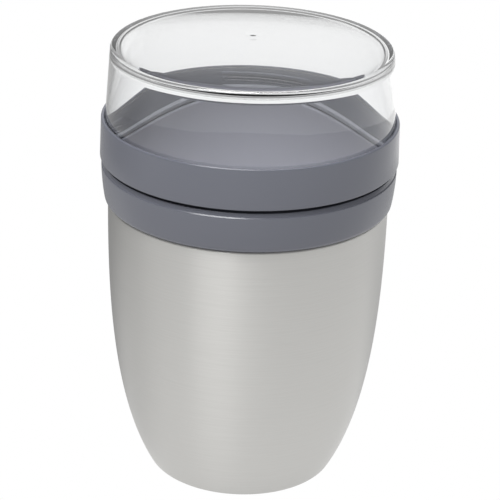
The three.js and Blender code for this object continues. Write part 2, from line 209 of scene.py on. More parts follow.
moved = add_node(turning, "GeometryNodeSetPosition")
feed(turning, moved.inputs["Geometry"], grid.outputs["Mesh"])
feed(turning, moved.inputs["Position"], bent.outputs[0])
closed = add_node(turning, "GeometryNodeMergeByDistance")
feed(turning, closed.inputs["Geometry"], moved.outputs[0])
closed.inputs["Distance"].default_value = SEAM
real = add_node(turning, "GeometryNodeRealizeInstances")
feed(turning, real.inputs[0], closed.outputs[0])
dressed = add_node(turning, "GeometryNodeSetMaterial")
feed(turning, dressed.inputs["Geometry"], real.outputs[0])
feed(turning, dressed.inputs["Material"], given["Finish"])
feed(turning, result["Piece"], dressed.outputs[0])

TURNING_INPUT = {i.name: i.identifier for i in turning.interface.items_tree if i.in_out == "INPUT"}
print("turning tree inputs:", list(TURNING_INPUT))

# %% [markdown]
# ## Drawing a section
#
# A section is a list of points, radius first and height second, in millimetres, that goes round the
# material anticlockwise. Real edges are never sharp, and it is the small rounds that catch the
# light, so a helper puts an arc in place of a corner. A second helper gives the rows of a lug.

# %% Section helpers
ROUND_STEPS = 6
LUG_OUTLINE = [  # rise in millimetres, and how far it stands out as a share of the lug's height
    (-0.95, 0.0),
    (-0.82, 0.1),
    (-0.62, 0.86),
    (-0.48, 1.0),
    (0.48, 1.0),
    (0.62, 0.86),
    (0.82, 0.1),
    (0.95, 0.0),
]


def rounded(before, corner, after, size, steps=ROUND_STEPS):
    tip, back, ahead = Vector(corner[:2]), Vector(before[:2]), Vector(after[:2])
    back, ahead = back - tip, ahead - tip
    half = back.angle(ahead) / 2
    reach = min(size / math.tan(half), back.length, ahead.length)
    start, end = tip + back.normalized() * reach, tip + ahead.normalized() * reach
    middle = tip + (back.normalized() + ahead.normalized()).normalized() * (reach / math.cos(half))
    spoke, last = start - middle, end - middle
    sweep = math.atan2(spoke.x * last.y - spoke.y * last.x, spoke.dot(last))
    points = []
    for step in range(steps + 1):
        bend = sweep * step / steps
        x = spoke.x * math.cos(bend) - spoke.y * math.sin(bend)
        y = spoke.x * math.sin(bend) + spoke.y * math.cos(bend)
        points.append((middle.x + x, middle.y + y))
    return points


def edged(points, size, steps=3):
    """Every corner of a closed outline, rounded alike."""
    loop = []
    for place, corner in enumerate(points):
        loop += rounded(points[place - 1], corner, points[(place + 1) % len(points)], size, steps)
    return loop


def along(radius_at, low, high, steps, ease=1.0):
    heights = [low + (high - low) * (step / steps) ** ease for step in range(steps + 1)]
    return [(radius_at(height), height) for height in heights]


def lug_rows(radius, height, outward):
    """Rows of a lug on an upright wall, from its lower flank to its upper one."""
    return [(radius, height + rise, outward * out, 1.0) for rise, out in LUG_OUTLINE]


print("a rounded corner has", ROUND_STEPS + 1, "points, a lug", len(LUG_OUTLINE), "rows")

# %% [markdown]
# ## From section to piece
#
# The section becomes a mesh of loose edges, the tree turns it, and new_from_object freezes the
# result as a plain mesh. The modifier goes before the piece is handed to the frame. A signed volume
# tells whether the faces point outwards, which is surer than looking.

# %% Turn a section
MM = 0.001
SIDES = 192
CRISP = math.radians(32)  # edges that bend more than this stay sharp
MILLILITRES = 1e6  # in a cubic metre


def turn(name, section, finish, sides=SIDES, **lugs):
    rows = [(tuple(point) + (0.0, 0.0))[:4] for point in section]
    if rows[0][0] > 0:
        rows.append(rows[0])
    outline = bpy.data.meshes.new(name)
    points = [(radius * MM, 0, height * MM) for radius, height, *_ in rows]
    edges = [(place, place + 1) for place in range(len(rows) - 1)]
    outline.from_pydata(points, edges, [])
    for label, column in (("lug", 2), ("climb", 3)):
        layer = outline.attributes.new(label, "FLOAT", "POINT")
        layer.data.foreach_set("value", [row[column] for row in rows])
    piece = bpy.data.objects.new(name, outline)
    bpy.context.scene.collection.objects.link(piece)
    modifier = piece.modifiers.new("turned_piece", "NODES")
    modifier.node_group = turning
    for label, value in {"Sides": sides, "Finish": finish, **lugs}.items():
        modifier[TURNING_INPUT[label]] = value
    evaluated = piece.evaluated_get(bpy.context.evaluated_depsgraph_get())
    solid = bpy.data.meshes.new_from_object(evaluated)
    piece.modifiers.clear()
    piece.data = solid
    bpy.data.meshes.remove(outline)
    shell = bmesh.new()
    shell.from_mesh(solid)
    volume = shell.calc_volume(signed=True)
    if volume < 0:
        bmesh.ops.reverse_faces(shell, faces=shell.faces)
        shell.to_mesh(solid)
    open_edges = sum(not edge.is_manifold for edge in shell.edges)
    shell.free()
    solid.shade_smooth()
    solid.set_sharp_from_angle(angle=CRISP)
    millilitres = round(abs(volume) * MILLILITRES, 2)
    print(name, len(solid.polygons), "faces,", millilitres, "ml,", open_edges, "open edges")
    return piece


def fit(piece, body, slot, *nodes):
    """Puts a finished piece on its body, in place of the CAD nodes that it stands for."""
    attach(piece, body)
    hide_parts(*nodes)


print("pieces are turned in", SIDES, "steps")

# %% [markdown]
# ## Marks that several finishes share
#
# Spun and brushed metal has lines that run round the axis: long in one direction and very fine in
# the other. A noise read on the unit circle and stretched along the height gives them with no seam.
# Moulded plastic has a fine even grain from its tool, and everything handled has faint smears. A
# mask tells what lies near the axis, where the grey of the bowl is matt and carries painted light.
# Each is a node group that puts out plain numbers, so that any material can use it with its own
# values.

# %% Places and noise
def object_place(tree):
    return add_node(tree, "ShaderNodeTexCoord").outputs["Object"]


def noise(tree, vector, scale, detail, roughness=0.5):
    node = add_node(tree, "ShaderNodeTexNoise")
    for name, value in {"Vector": vector, "Scale": scale, "Detail": detail, "Roughness": roughness}.items():
        feed(tree, node.inputs[name], value)
    return node.outputs["Fac"]


print("patterns follow Object coordinates, in metres")

# %% Turned marks
STREAK_DETAIL = 4.0
STREAK_ROUGHNESS = 0.65
ON_AXIS = 1e-9  # keeps the division below from failing on the axis

turned_marks, marks_given, marks_result = open_group(
    "turned_marks",
    "ShaderNodeTree",
    [("Fineness", "NodeSocketFloat", 1500.0), ("Breaks", "NodeSocketFloat", 3.0)],
    [("Streak", "NodeSocketFloat")],
)
spot = add_node(turned_marks, "ShaderNodeSeparateXYZ")
feed(turned_marks, spot.inputs[0], object_place(turned_marks))
across = calculate(turned_marks, "MULTIPLY", spot.outputs["X"], spot.outputs["X"])
across = calculate(turned_marks, "MULTIPLY_ADD", spot.outputs["Y"], spot.outputs["Y"], across)
across = calculate(turned_marks, "SQRT", calculate(turned_marks, "ADD", across, ON_AXIS))
ring = add_node(turned_marks, "ShaderNodeCombineXYZ")
for axis in ("X", "Y"):
    unit = calculate(turned_marks, "DIVIDE", spot.outputs[axis], across)
    feed(turned_marks, ring.inputs[axis], calculate(turned_marks, "MULTIPLY", unit, marks_given["Breaks"]))
run = calculate(turned_marks, "ADD", spot.outputs["Z"], across)
feed(turned_marks, ring.inputs["Z"], calculate(turned_marks, "MULTIPLY", run, marks_given["Fineness"]))
streaks = noise(turned_marks, ring.outputs[0], 1.0, STREAK_DETAIL, STREAK_ROUGHNESS)
feed(turned_marks, marks_result["Streak"], streaks)
print("group:", turned_marks.name, "with", len(turned_marks.nodes), "nodes")

# %% Moulded grain
GRAIN_DETAIL = 2.0
PATCH_DETAIL = 3.0

moulded_grain, grain_given, grain_result = open_group(
    "moulded_grain",
    "ShaderNodeTree",
    [("Grain size", "NodeSocketFloat", 0.0004), ("Patch size", "NodeSocketFloat", 0.03)],
    [("Grain", "NodeSocketFloat"), ("Patch", "NodeSocketFloat")],
)
for label, detail in (("Grain", GRAIN_DETAIL), ("Patch", PATCH_DETAIL)):
    scale = calculate(moulded_grain, "DIVIDE", 1.0, grain_given[label + " size"])
    pattern = noise(moulded_grain, object_place(moulded_grain), scale, detail)
    feed(moulded_grain, grain_result[label], pattern)
print("group:", moulded_grain.name, "with", len(moulded_grain.nodes), "nodes")

# %% Near the axis
near_axis, near_given, near_result = open_group(
    "near_axis",
    "ShaderNodeTree",
    [("Radius", "NodeSocketFloat", 0.05), ("Blend", "NodeSocketFloat", 0.0005)],
    [("Inside", "NodeSocketFloat")],
)
flat = add_node(near_axis, "ShaderNodeVectorMath", operation="MULTIPLY")
feed(near_axis, flat.inputs[0], object_place(near_axis))
flat.inputs[1].default_value = (1, 1, 0)
away = add_node(near_axis, "ShaderNodeVectorMath", operation="LENGTH")
feed(near_axis, away.inputs[0], flat.outputs["Vector"])
blend_end = calculate(near_axis, "ADD", near_given["Radius"], near_given["Blend"])
distance = away.outputs["Value"]
inside_share = remap(near_axis, distance, near_given["Radius"], blend_end, 1.0, 0.0, "SMOOTHSTEP")
feed(near_axis, near_result["Inside"], inside_share)
print("group:", near_axis.name, "with", len(near_axis.nodes), "nodes")

# %% [markdown]
# ## Finishes
#
# Each finish is one Principled shader. What is the same all over, such as the metal's anisotropy or
# the plastic's index of refraction, is set on the shader's own socket; what changes over the
# surface comes from the groups. The anisotropy is what makes a spun pot show upright bands of
# light: the tiny grooves run round, so they spread each reflection up and down.

# %% Material helpers
def begin_finish(name, **values):
    finish = bpy.data.materials.new(name)
    finish.use_nodes = True
    tree = finish.node_tree
    shader = tree.nodes["Principled BSDF"]
    for label, value in values.items():
        shader.inputs[label.replace("_", " ")].default_value = value
    return finish, tree, shader.inputs


def use_group(tree, group, **values):
    node = add_node(tree, "ShaderNodeGroup", node_tree=group)
    for label, value in values.items():
        node.inputs[label.replace("_", " ")].default_value = value
    return node.outputs


def tint(tree, value, dark, light):
    ramp = add_node(tree, "ShaderNodeMix", data_type="RGBA")
    feed(tree, ramp.inputs["Factor"], value)
    ramp.inputs["A"].default_value = (*dark, 1)
    ramp.inputs["B"].default_value = (*light, 1)
    return ramp.outputs["Result"]


def relief(tree, height, depth):
    bump = add_node(tree, "ShaderNodeBump")
    feed(tree, bump.inputs["Height"], height)
    bump.inputs["Distance"].default_value = depth
    bump.inputs["Strength"].default_value = 1.0
    return bump.outputs["Normal"]


print("material helpers are ready")

# %% Steel finishes
UP_AND_DOWN = 0.25  # a quarter turn from the grooves
GROOVE_DEPTH = 2.5e-6
MIDDLE = (0.3, 0.7)  # nearly all values of a noise lie between these


def steel(name, dark, light, smooth, rough, fineness, breaks, anisotropy):
    finish, tree, shader = begin_finish(name, Metallic=1.0, Anisotropic=anisotropy)
    shader["Anisotropic Rotation"].default_value = UP_AND_DOWN
    streak = use_group(tree, turned_marks, Fineness=fineness, Breaks=breaks)["Streak"]
    round_the_axis = add_node(tree, "ShaderNodeTangent", direction_type="RADIAL", axis="Z")
    feed(tree, shader["Base Color"], tint(tree, streak, dark, light))
    feed(tree, shader["Roughness"], remap(tree, streak, *MIDDLE, smooth, rough))
    feed(tree, shader["Normal"], relief(tree, streak, GROOVE_DEPTH))
    feed(tree, shader["Tangent"], round_the_axis.outputs[0])
    return finish


brushed_steel = steel(
    "brushed_steel",
    dark=(0.48, 0.475, 0.458),
    light=(0.592, 0.587, 0.57),
    smooth=0.3,
    rough=0.38,
    fineness=2600.0,
    breaks=2.5,
    anisotropy=0.95,
)
polished_steel = steel(
    "polished_steel",
    dark=(0.64, 0.64, 0.63),
    light=(0.72, 0.72, 0.71),
    smooth=0.16,
    rough=0.26,
    fineness=3000.0,
    breaks=2.0,
    anisotropy=0.3,
)
print("steel finishes:", brushed_steel.name, polished_steel.name)

# %% [markdown]
# ## Grey plastic
#
# The ring and the collar are satin and show a thin line of light along their edges, while the bowl
# inside is matt and a paler grey: painted light, which stands in for the light that falls into the
# bowl from above. Two materials would need a seam in the mesh. One material with the mask by
# distance from the axis changes at the inner edge of the ledge.

# %% Slate plastic
RING_DARK = (0.107, 0.112, 0.137)
RING_LIGHT = (0.117, 0.122, 0.147)
RING_SMOOTH = 0.2
RING_ROUGH = 0.22
# Painted light: the bowl's grey is paler than the ring's, for the light that falls into it from above.
BOWL_PAINTED_LIT_DARK = (0.204, 0.205, 0.239)
BOWL_PAINTED_LIT_LIGHT = (0.214, 0.215, 0.249)
BOWL_MATT = 0.55  # how much rougher the bowl is than the ring
BOWL_MATT_AND_PAINTED_LIGHT_RADIUS = 0.0508
SLATE_GRAIN = 0.0003
SLATE_GRAIN_DEPTH = 5e-8

slate_plastic, slate_tree, slate_shader = begin_finish("slate_plastic")
slate_marks = use_group(slate_tree, moulded_grain, Grain_size=SLATE_GRAIN)
# Inside this radius the grey is matt and carries the painted light of the bowl.
in_bowl = use_group(slate_tree, near_axis, Radius=BOWL_MATT_AND_PAINTED_LIGHT_RADIUS)["Inside"]
slate_colour = add_node(slate_tree, "ShaderNodeMix", data_type="RGBA")
feed(slate_tree, slate_colour.inputs["Factor"], in_bowl)
feed(slate_tree, slate_colour.inputs["A"], tint(slate_tree, slate_marks["Patch"], RING_DARK, RING_LIGHT))
feed(slate_tree, slate_colour.inputs["B"], tint(slate_tree, slate_marks["Patch"], BOWL_PAINTED_LIT_DARK, BOWL_PAINTED_LIT_LIGHT))
feed(slate_tree, slate_shader["Base Color"], slate_colour.outputs["Result"])
satin = remap(slate_tree, slate_marks["Patch"], *MIDDLE, RING_SMOOTH, RING_ROUGH)
ring_and_bowl = calculate(slate_tree, "MULTIPLY_ADD", in_bowl, BOWL_MATT, satin)
feed(slate_tree, slate_shader["Roughness"], ring_and_bowl)
feed(slate_tree, slate_shader["Normal"], relief(slate_tree, slate_marks["Grain"], SLATE_GRAIN_DEPTH))
print("grey plastic:", slate_plastic.name, "with", len(slate_tree.nodes), "nodes")

# %% [markdown]
# ## Rubber, foil and small metals
#
# The seals are soft silicone. In the vacuum space there are a puck of pressed powder, a melted bead
# and a sleeve of dented foil. Each has one even colour and a grain of its own size, so a single
# helper with different values makes all four, and no image texture has to be unwrapped.

# %% Rubber, foil and small metals
def grained(name, dark, light, smooth, rough, grain_size, depth, **values):
    finish, tree, shader = begin_finish(name, **values)
    marks = use_group(tree, moulded_grain, Grain_size=grain_size)
    feed(tree, shader["Base Color"], tint(tree, marks["Patch"], dark, light))
    feed(tree, shader["Roughness"], remap(tree, marks["Grain"], *MIDDLE, smooth, rough))
    feed(tree, shader["Normal"], relief(tree, marks["Grain"], depth))
    return finish


grey_silicone = grained(
    "grey_silicone",
    dark=(0.17, 0.175, 0.20),
    light=(0.19, 0.195, 0.22),
    smooth=0.5,
    rough=0.6,
    grain_size=0.0008,
    depth=8e-6,
)
getter_alloy = grained(
    "getter_alloy",
    dark=(0.08, 0.08, 0.085),
    light=(0.14, 0.14, 0.145),
    smooth=0.7,
    rough=0.9,
    grain_size=0.0003,
    depth=4e-5,
    Metallic=0.6,
)
braze = grained(
    "braze",
    dark=(0.40, 0.40, 0.42),
    light=(0.52, 0.52, 0.54),
    smooth=0.3,
    rough=0.5,
    grain_size=0.0012,
    depth=4e-5,
    Metallic=1.0,
)
foil = grained(
    "foil",
    dark=(0.72, 0.73, 0.74),
    light=(0.82, 0.83, 0.84),
    smooth=0.18,
    rough=0.3,
    grain_size=0.004,
    depth=1.5e-4,
    Metallic=1.0,
)
print("grained finishes:", grey_silicone.name, getter_alloy.name, braze.name, foil.name)

# %% [markdown]
# ## Clear plastic
#
# The lid is clear and polished, with faint smears from hands. A renderer treats clear plastic as a
# solid in the way of the lamps, so what lies under it comes out too dark, or speckled with
# caustics. A Light Path node therefore lets shadow rays and bounced rays go straight through a
# Transparent shader, while the lens and every reflection still see true refraction.

# %% Clear plastic
CLEAR_TINT = (0.985, 0.99, 0.992, 1)
CLEAR_INDEX = 1.53
PASSING_LIGHT = (0.9, 0.905, 0.91, 1)
SMEAR_SIZE = 0.02
SMEAR_START = 0.55
SMEAR_FULL = 0.8
SMEAR_ROUGHNESS = 0.012


def switch(tree, share, first, second):
    node = add_node(tree, "ShaderNodeMixShader")
    for socket, value in zip(node.inputs, (share, first, second)):
        feed(tree, socket, value)
    return node.outputs["Shader"]


clear_plastic, clear_tree, clear_shader = begin_finish(
    "clear_plastic", Base_Color=CLEAR_TINT, Transmission_Weight=1.0, IOR=CLEAR_INDEX
)
smear = use_group(clear_tree, moulded_grain, Patch_size=SMEAR_SIZE)["Patch"]
smear_rough = remap(clear_tree, smear, SMEAR_START, SMEAR_FULL, 0.0, SMEAR_ROUGHNESS)
feed(clear_tree, clear_shader["Roughness"], smear_rough)
passing = add_node(clear_tree, "ShaderNodeBsdfTransparent")
passing.inputs["Color"].default_value = PASSING_LIGHT
light_path = add_node(clear_tree, "ShaderNodeLightPath").outputs
straight = calculate(clear_tree, "MAXIMUM", light_path["Is Shadow Ray"], light_path["Is Diffuse Ray"])
refracting = clear_tree.nodes["Principled BSDF"].outputs["BSDF"]
clear = switch(clear_tree, straight, refracting, passing.outputs["BSDF"])
feed(clear_tree, clear_tree.nodes["Material Output"].inputs["Surface"], clear)
print("clear plastic:", clear_plastic.name, "with an index of refraction of", CLEAR_INDEX)

# %% [markdown]
# ## Steel body
#
# The body is drawn from steel sheet. Its wall is nearly upright under the collar and curves in more
# and more towards the foot. A Bezier curve could be drawn over the photograph, but a superellipse
# needs only a radius, a depth and a power, it is smooth to any number of points, and the liner can
# follow it at an even distance.

# %% Outer shell
SHELL_RADIUS = 53.0
SHOULDER = 109.6
SHOULDER_ROUND = 1.0
CURVE_TOP = 114.6
CURVE_DEPTH = 134.0
CURVE_POWER = 2.7
SHEET = 0.6
FOOT_ROUND = 2.2
FOOT_INNER = 30.71
NECK_RADIUS = 50.5
NECK_TOP = 115.5
BEAD = 0.5
BEAD_HEIGHT = 112.2
BEAD_STEPS = 8
NECK_FOOT_ROUND = 0.4
WALL_STEPS = 40
WALL_EASE = 1.3  # above 1, the points stand closer together near the foot
FINE_SIDES = 256


def steel_wall(height, inset=0.0):
    share = (CURVE_TOP - height) / CURVE_DEPTH
    return SHELL_RADIUS * (1 - share ** CURVE_POWER) ** (1 / CURVE_POWER) - inset


def shell_inside(height):
    return steel_wall(height, SHEET)


def bead_rows(radius, outward):
    turns = [step * math.pi / BEAD_STEPS for step in range(BEAD_STEPS + 1)]
    return [(radius + outward * BEAD * math.sin(a), BEAD_HEIGHT - BEAD * math.cos(a)) for a in turns]


wall_top = SHOULDER - SHOULDER_ROUND
wall = along(steel_wall, FOOT_ROUND, wall_top, WALL_STEPS, WALL_EASE)
inner_wall = along(shell_inside, FOOT_ROUND, wall_top - SHEET, WALL_STEPS // 2, WALL_EASE)[::-1]
neck_foot = (NECK_RADIUS, SHOULDER)
shell_section = [
    (FOOT_INNER, 0),
    *rounded((FOOT_INNER, 0), (steel_wall(0), 0), wall[0], FOOT_ROUND),
    *wall,
    *rounded(wall[-1], (SHELL_RADIUS, SHOULDER), neck_foot, SHOULDER_ROUND)[1:],
    *rounded((SHELL_RADIUS, SHOULDER), neck_foot, (NECK_RADIUS, NECK_TOP), NECK_FOOT_ROUND),
    *bead_rows(NECK_RADIUS, 1),
    (NECK_RADIUS, NECK_TOP),
    (NECK_RADIUS - SHEET, NECK_TOP),
    (NECK_RADIUS - SHEET, SHOULDER - SHEET),
    (SHELL_RADIUS - SHEET - SHOULDER_ROUND, SHOULDER - SHEET),
    *inner_wall,
    *rounded(inner_wall[-1], (shell_inside(SHEET), SHEET), (FOOT_INNER, SHEET), FOOT_ROUND - SHEET),
    (FOOT_INNER, SHEET),
]
shell = turn("steel_body", shell_section, brushed_steel, sides=FINE_SIDES)
fit(shell, "pot", "brushed_steel", "outer_shell")

# %% [markdown]
# ## Liner and base
#
# The liner is the bowl that holds the food: the same curve, set in by the vacuum space and both
# sheets, with a wide round at its floor that a spoon can reach and a rim flange welded over the
# neck. Under the foot, a thin dished cover hides the plate that closes the vacuum. Both are turned
# from sections, like the body.

# %% Liner
LINER_INSET = 5.4
LINER_FLOOR = 9.0
LINER_ROUND = 9.0
MOUTH_RADIUS = 48.1
MOUTH_ROUND = 0.5
RIM = 116.3
RIM_ROUND = 0.25


def liner_inside(height):
    return steel_wall(height, LINER_INSET)


def liner_outside(height):
    return steel_wall(height, LINER_INSET - SHEET)


liner_start = LINER_FLOOR + LINER_ROUND
liner_under = LINER_FLOOR - SHEET
liner_out = along(liner_outside, liner_start, SHOULDER, WALL_STEPS // 2, WALL_EASE)
liner_in = along(liner_inside, liner_start, SHOULDER, WALL_STEPS, WALL_EASE)[::-1]
under_corner = (liner_outside(liner_under), liner_under)
floor_corner = (liner_inside(LINER_FLOOR), LINER_FLOOR)
rim_under = (NECK_RADIUS, RIM - SHEET)
rim_edge = (NECK_RADIUS, RIM)
mouth_edge = (MOUTH_RADIUS, RIM)
liner_section = [
    (0, liner_under),
    *rounded((0, liner_under), under_corner, liner_out[0], LINER_ROUND + SHEET, steps=8),
    *liner_out[1:],
    (MOUTH_RADIUS + SHEET, RIM - SHEET),
    *rounded((MOUTH_RADIUS, RIM - SHEET), rim_under, rim_edge, RIM_ROUND, steps=3),
    *rounded(rim_under, rim_edge, mouth_edge, RIM_ROUND, steps=3),
    *rounded(rim_edge, mouth_edge, liner_in[0], MOUTH_ROUND, steps=5),
    *liner_in[:-1],
    *rounded(liner_in[-1], floor_corner, (0, LINER_FLOOR), LINER_ROUND, steps=12),
    (0, LINER_FLOOR),
]
liner = turn("steel_liner", liner_section, polished_steel)
fit(liner, "pot", "polished_steel", "inner_liner")

# %% Base cover
COVER_LIFT = 0.2
COVER_SHEET = 0.4
COVER_EDGE = 30.51
COVER_RIM = 28.11
COVER_RIM_ROUND = 3.0
COVER_DISH = 24.11
COVER_DISH_ROUND = 6.0
COVER_RECESS = 0.6

dish = COVER_LIFT + COVER_RECESS
cover_under = [(0, dish), (COVER_DISH, dish), (COVER_RIM, COVER_LIFT), (COVER_EDGE, COVER_LIFT)]
cover_bends = [
    cover_under[0],
    *rounded(cover_under[0], cover_under[1], cover_under[2], COVER_DISH_ROUND),
    *rounded(cover_under[1], cover_under[2], cover_under[3], COVER_RIM_ROUND),
    cover_under[3],
]
cover_section = cover_bends + [(radius, height + COVER_SHEET) for radius, height in reversed(cover_bends)]
base_cover = turn("foot_cover", cover_section, brushed_steel)
fit(base_cover, "pot", "brushed_steel", "base_cover")

# %% [markdown]
# ## Collar
#
# The collar is a moulded ring pressed over a bead on the steel neck. Its side swells out from a
# well rounded lower edge up to a brow, and a slope leads from there in under the tray's ring. A
# Bevel modifier would round all edges alike; here the brow gets a fine bevel of its own, because
# that is what catches a thin line of light. Inside is the socket for the tray, with four sloping
# lugs: part-turn threads, which open in an eighth of a turn. They are modelled on the socket's own
# wall, so the ring stays one clean surface.

# %% Collar
COLLAR_BOTTOM = 109.8
COLLAR_TOP = 125.2
COLLAR_LOWER_RADIUS = 54.15
COLLAR_FLARE = 1.35
COLLAR_LOWER_ROUND = 1.6
BROW_TOP_RADIUS = 54.65
BROW_HEIGHT = 1.85
BROW_BEVEL = 0.4
BROW_ROUND = 0.2
SOCKET_RADIUS = 53.8
SOCKET_FLOOR = 115.4
SOCKET_FLOOR_ROUND = 0.4
COLLAR_SEAT = 50.7
SEAT_ROUND = 0.3
REBATE_RADIUS = 52.4
REBATE_TOP = 111.2
COLLAR_LUG_HEIGHT = 120.6
LUG_STAND = 0.9 * MM
LUG_CLIMB = 1.2 * MM
LUG_TURN = 0.3
LUGS = {"Lug height": LUG_STAND, "Lug climb": LUG_CLIMB, "Lug turn": LUG_TURN}
SIDE_STEPS = 12


def collar_side(height):
    share = (COLLAR_TOP - height) / (COLLAR_TOP - COLLAR_BOTTOM)
    return COLLAR_LOWER_RADIUS + COLLAR_FLARE * (1 - share ** 2)


brow = (collar_side(COLLAR_TOP - BROW_HEIGHT), COLLAR_TOP - BROW_HEIGHT)
brow_bevel = (brow[0] - BROW_BEVEL, brow[1] + BROW_BEVEL)
brow_top = (BROW_TOP_RADIUS, COLLAR_TOP)
side = along(collar_side, COLLAR_BOTTOM + COLLAR_LOWER_ROUND, brow[1] - BROW_ROUND, SIDE_STEPS)
collar_foot = (COLLAR_LOWER_RADIUS, COLLAR_BOTTOM)
socket_edge = (SOCKET_RADIUS, COLLAR_TOP)
socket_corner = (SOCKET_RADIUS, SOCKET_FLOOR)
seat_edge = (COLLAR_SEAT, SOCKET_FLOOR)
collar_section = [
    (REBATE_RADIUS, COLLAR_BOTTOM),
    *rounded((REBATE_RADIUS, COLLAR_BOTTOM), collar_foot, side[0], COLLAR_LOWER_ROUND)[:-1],
    *side,
    *rounded(side[-1], brow, brow_bevel, BROW_ROUND, steps=4)[1:],
    *rounded(brow, brow_bevel, brow_top, BROW_ROUND, steps=3),
    *rounded(brow_bevel, brow_top, socket_edge, BROW_ROUND, steps=3),
    *rounded(brow_top, socket_edge, socket_corner, BROW_ROUND, steps=3),
    *lug_rows(SOCKET_RADIUS, COLLAR_LUG_HEIGHT, -1)[::-1],
    *rounded(socket_edge, socket_corner, seat_edge, SOCKET_FLOOR_ROUND, steps=3),
    *rounded(socket_corner, seat_edge, (COLLAR_SEAT, REBATE_TOP), SEAT_ROUND, steps=3),
    *bead_rows(COLLAR_SEAT, 1)[::-1],
    (COLLAR_SEAT, REBATE_TOP),
    (REBATE_RADIUS, REBATE_TOP),
]
collar = turn("grey_collar", collar_section, slate_plastic, **LUGS)
fit(collar, "pot", "slate_plastic", "collar")

# %% [markdown]
# ## Tray
#
# The tray is one moulding with four jobs: a bowl that hangs inside the pot's mouth, a neck that
# screws into the collar, a groove for the seal that presses on the steel rim, and an outer ring
# with a ledge that takes the lid. Drawing all that as one section keeps the wall even and makes the
# hidden groove come out by itself.

# %% Tray
RING_BOTTOM = 126.6
RING_TOP = 142.1
RING_RADIUS = 56.0
RING_TOP_RADIUS = 55.6
RING_INSIDE = 54.35
RING_ROUND = 0.6
RING_INNER_ROUND = 0.4
RING_FOOT_ROUND = 0.3
LEDGE = 132.3
LEDGE_ROUND = 0.5
WEB_UNDER = 130.5
TRAY_NECK_RADIUS = 52.6
TRAY_NECK_INSIDE = 51.0
TRAY_NECK_BOTTOM = 116.0
TRAY_NECK_ROUND = 0.5
TRAY_NECK_INNER_ROUND = 0.3
GROOVE_TOP = 120.3
GROOVE_INSIDE = 49.7
BOWL_RADIUS = 50.9
BOWL_DEPTH = 34.0
BOWL_WALL = 1.7
BOWL_POWER = 2.0682
BOWL_FOOT = 20.0
BOWL_FOOT_ROUND = 6.0
BOWL_EDGE_ROUND = 0.8
OUTSIDE_STEPS = 24
INSIDE_STEPS = 32
BOWL_EASE = 1.2
FOOT_BEND = 3  # so many points of the wall give way to the round at the bowl's foot
TRAY_LUG_HEIGHT = 118.2
RING_LUG_HEIGHT = 138.1


def bowl_wall(height, wall=0.0):
    share = min(1.0, (LEDGE - height) / (BOWL_DEPTH + wall))
    return (BOWL_RADIUS + wall) * (1 - share ** BOWL_POWER) ** (1 / BOWL_POWER)


def bowl_height(radius, wall=0.0):
    share = radius / (BOWL_RADIUS + wall)
    return LEDGE - (BOWL_DEPTH + wall) * (1 - share ** BOWL_POWER) ** (1 / BOWL_POWER)


def bowl_outside(height):
    return min(bowl_wall(height, BOWL_WALL), GROOVE_INSIDE)


floor_under = bowl_height(BOWL_FOOT, BOWL_WALL)
floor_top = bowl_height(BOWL_FOOT)
outside = along(bowl_outside, floor_under, GROOVE_TOP, OUTSIDE_STEPS, BOWL_EASE)
inside = along(bowl_wall, floor_top, LEDGE - BOWL_EDGE_ROUND, INSIDE_STEPS, BOWL_EASE)[::-1]
neck_end = [(TRAY_NECK_INSIDE, TRAY_NECK_BOTTOM), (TRAY_NECK_RADIUS, TRAY_NECK_BOTTOM)]
web = [(TRAY_NECK_RADIUS, WEB_UNDER), (RING_INSIDE, WEB_UNDER)]
ring_corners = [
    (RING_INSIDE, RING_BOTTOM),
    (RING_RADIUS, RING_BOTTOM),
    (RING_TOP_RADIUS, RING_TOP),
    (RING_INSIDE, RING_TOP),
]
ledge_corner = (RING_INSIDE, LEDGE)
ledge_edge = (BOWL_RADIUS, LEDGE)
tray_section = [
    (0, floor_under),
    *rounded((0, floor_under), outside[0], outside[FOOT_BEND], BOWL_FOOT_ROUND)[:-1],
    *outside[FOOT_BEND:],
    (TRAY_NECK_INSIDE, GROOVE_TOP),
    *rounded((TRAY_NECK_INSIDE, GROOVE_TOP), neck_end[0], neck_end[1], TRAY_NECK_INNER_ROUND, steps=3),
    *rounded(neck_end[0], neck_end[1], web[0], TRAY_NECK_ROUND, steps=4),
    *lug_rows(TRAY_NECK_RADIUS, TRAY_LUG_HEIGHT, 1),
    *rounded(neck_end[1], web[0], web[1], TRAY_NECK_ROUND, steps=4),
    *rounded(web[0], web[1], ring_corners[0], RING_INNER_ROUND, steps=4),
    *rounded(web[1], ring_corners[0], ring_corners[1], RING_FOOT_ROUND, steps=3),
    *rounded(ring_corners[0], ring_corners[1], ring_corners[2], RING_ROUND),
    *rounded(ring_corners[1], ring_corners[2], ring_corners[3], RING_ROUND),
    *rounded(ring_corners[2], ring_corners[3], ledge_corner, RING_INNER_ROUND, steps=4),
    *lug_rows(RING_INSIDE, RING_LUG_HEIGHT, -1)[::-1],
    *rounded(ring_corners[3], ledge_corner, ledge_edge, LEDGE_ROUND, steps=4),
    *rounded(ledge_corner, ledge_edge, inside[0], BOWL_EDGE_ROUND)[:-1],
    *inside[:-FOOT_BEND],
    *rounded(inside[-FOOT_BEND - 1], inside[-1], (0, floor_top), BOWL_FOOT_ROUND),
    (0, floor_top),
]
tray = turn("grey_tray", tray_section, slate_plastic, **LUGS)
fit(tray, "tray", "slate_plastic", "tray")

# %% [markdown]
# ## Lid
#
# The lid is moulded in clear plastic. Clear things show both of their surfaces, so the wall has its
# true thickness and draft, the top is crowned, and the corner is rounded inside and out: the bright
# and dark lines along the edge come from those rounds bending the light. The lugs are part of the
# same surface, because two clear solids that overlap would show a false face inside. A tiny raised
# dot in the middle of the top is where the plastic went in.

